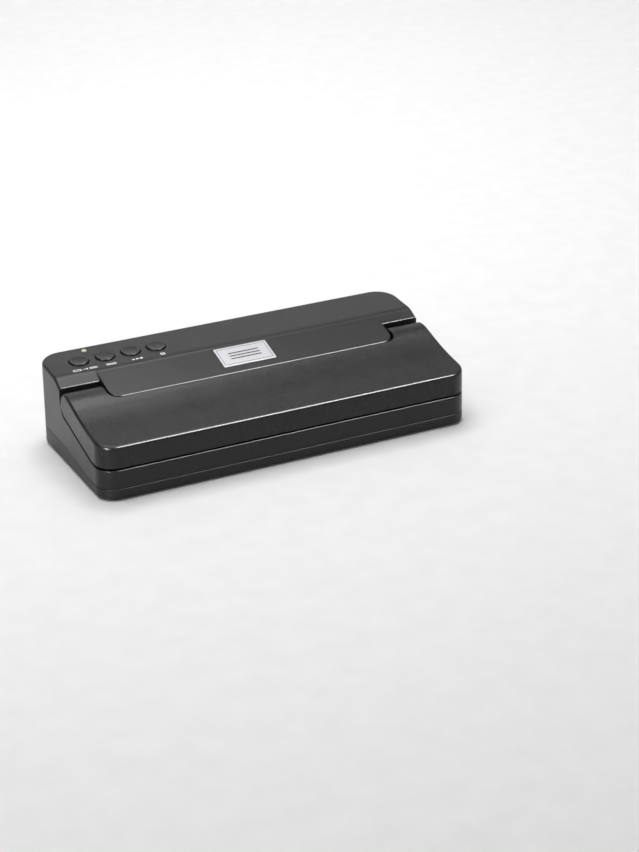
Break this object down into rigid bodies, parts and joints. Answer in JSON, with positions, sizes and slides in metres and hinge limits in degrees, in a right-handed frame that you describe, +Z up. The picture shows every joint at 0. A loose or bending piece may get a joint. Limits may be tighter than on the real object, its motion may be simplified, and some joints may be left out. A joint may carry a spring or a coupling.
{
  "type": "vacuum sealer",
  "caption": "Low wedge-shaped household vacuum sealer with a hinged front lid over a sealing bar, a fixed control panel with round push buttons and a plain badge on its tongue.",
  "frame": {"origin": "centre of the footprint on the table under the feet", "axes": "+X along the length towards the user's right, +Y towards the back, +Z up; the bag goes in at -Y"},
  "size_m": [0.36, 0.16, 0.0802],
  "materials": {
    "shell": "satin charcoal moulding with a fine grain",
    "lid": "satin charcoal moulding with a fine grain",
    "tray": "satin charcoal moulding, slightly darker",
    "button": "smooth satin black",
    "liner": "plain black moulding",
    "foam": "closed-cell foam",
    "silicone": "soft grey silicone",
    "tape": "tan coated glass cloth",
    "steel": "bright zinc-plated or brushed",
    "aluminium": "plain extruded",
    "badge": "satin silver plate",
    "rubber": "matt black",
    "lens": "pale yellow-green moulded lens",
    "board": "green solder mask",
    "insulator": "pale heat-resistant moulding",
    "copper": "varnished winding",
    "hose": "milky silicone tube"
  },
  "bodies": {
    "base": {"main_housing": "shell", "bottom_cover": "tray", "foot_front_left": "rubber", "foot_front_right": "rubber", "foot_rear_left": "rubber", "foot_rear_right": "rubber", "case_screw_1": "steel", "case_screw_2": "steel", "case_screw_3": "steel", "case_screw_4": "steel", "case_screw_5": "steel", "case_screw_6": "steel", "lower_gasket": "foam", "vacuum_nozzle": "liner", "heater_bar": "insulator", "heating_element": "steel", "sealing_tape": "tape", "latch_keeper_left": "steel", "latch_keeper_right": "steel", "hinge_pin_left": "steel", "hinge_pin_right": "steel", "lid_switch": "liner", "button_dome_vacuum_seal": "silicone", "button_dome_seal": "silicone", "button_dome_pulse": "silicone", "button_dome_cancel": "silicone", "control_board": "board", "lamp_lens": "lens", "lamp_diode": "lens", "badge": "badge", "pump_motor": "steel", "pump_case": "liner", "pump_case_lid": "liner", "pump_head": "insulator", "pump_pad": "rubber", "vacuum_hose": "hose", "transformer_core": "steel", "transformer_coil": "copper", "power_board": "board", "capacitor": "liner", "heat_sink": "aluminium", "mains_inlet": "liner", "inlet_pin_left": "steel", "inlet_pin_right": "steel"},
    "lid": {"lid_shell": "lid", "lid_liner": "liner", "upper_gasket": "foam", "pressure_strip": "silicone", "latch_hook_left": "liner", "latch_hook_right": "liner"},
    "button_vacuum_seal": {"button_vacuum_seal": "button"},
    "button_seal": {"button_seal": "button"},
    "button_pulse": {"button_pulse": "button"},
    "button_cancel": {"button_cancel": "button"},
    "lid_switch_plunger": {"lid_switch_plunger": "insulator"},
    "pump_rotor": {"pump_rotor": "steel"}
  },
  "joints": [
    {"name": "lid_hinge", "type": "hinge", "parent": "base", "child": "lid", "pos_m": [0, 0.005, 0.0576], "axis": [-1, 0, 0], "range_deg": [0, 65]},
    {"name": "press_vacuum_seal", "type": "slide", "parent": "base", "child": "button_vacuum_seal", "axis": [0, 0.0728, -0.9973], "range_m": [0, 0.001], "stiffness_N_per_m": 600, "springref_m": -0.001},
    {"name": "press_seal", "type": "slide", "parent": "base", "child": "button_seal", "axis": [0, 0.0728, -0.9973], "range_m": [0, 0.001], "stiffness_N_per_m": 600, "springref_m": -0.001},
    {"name": "press_pulse", "type": "slide", "parent": "base", "child": "button_pulse", "axis": [0, 0.0728, -0.9973], "range_m": [0, 0.001], "stiffness_N_per_m": 600, "springref_m": -0.001},
    {"name": "press_cancel", "type": "slide", "parent": "base", "child": "button_cancel", "axis": [0, 0.0728, -0.9973], "range_m": [0, 0.001], "stiffness_N_per_m": 600, "springref_m": -0.001},
    {"name": "lid_switch_travel", "type": "slide", "parent": "base", "child": "lid_switch_plunger", "axis": [0, 0.2425, -0.9701], "range_m": [0, 0.0008], "stiffness_N_per_m": 300, "springref_m": -0.001},
    {"name": "pump_spin", "type": "hinge", "parent": "base", "child": "pump_rotor", "pos_m": [0.1, 0.044, 0.024], "axis": [1, 0, 0], "continuous": true}
  ]
}
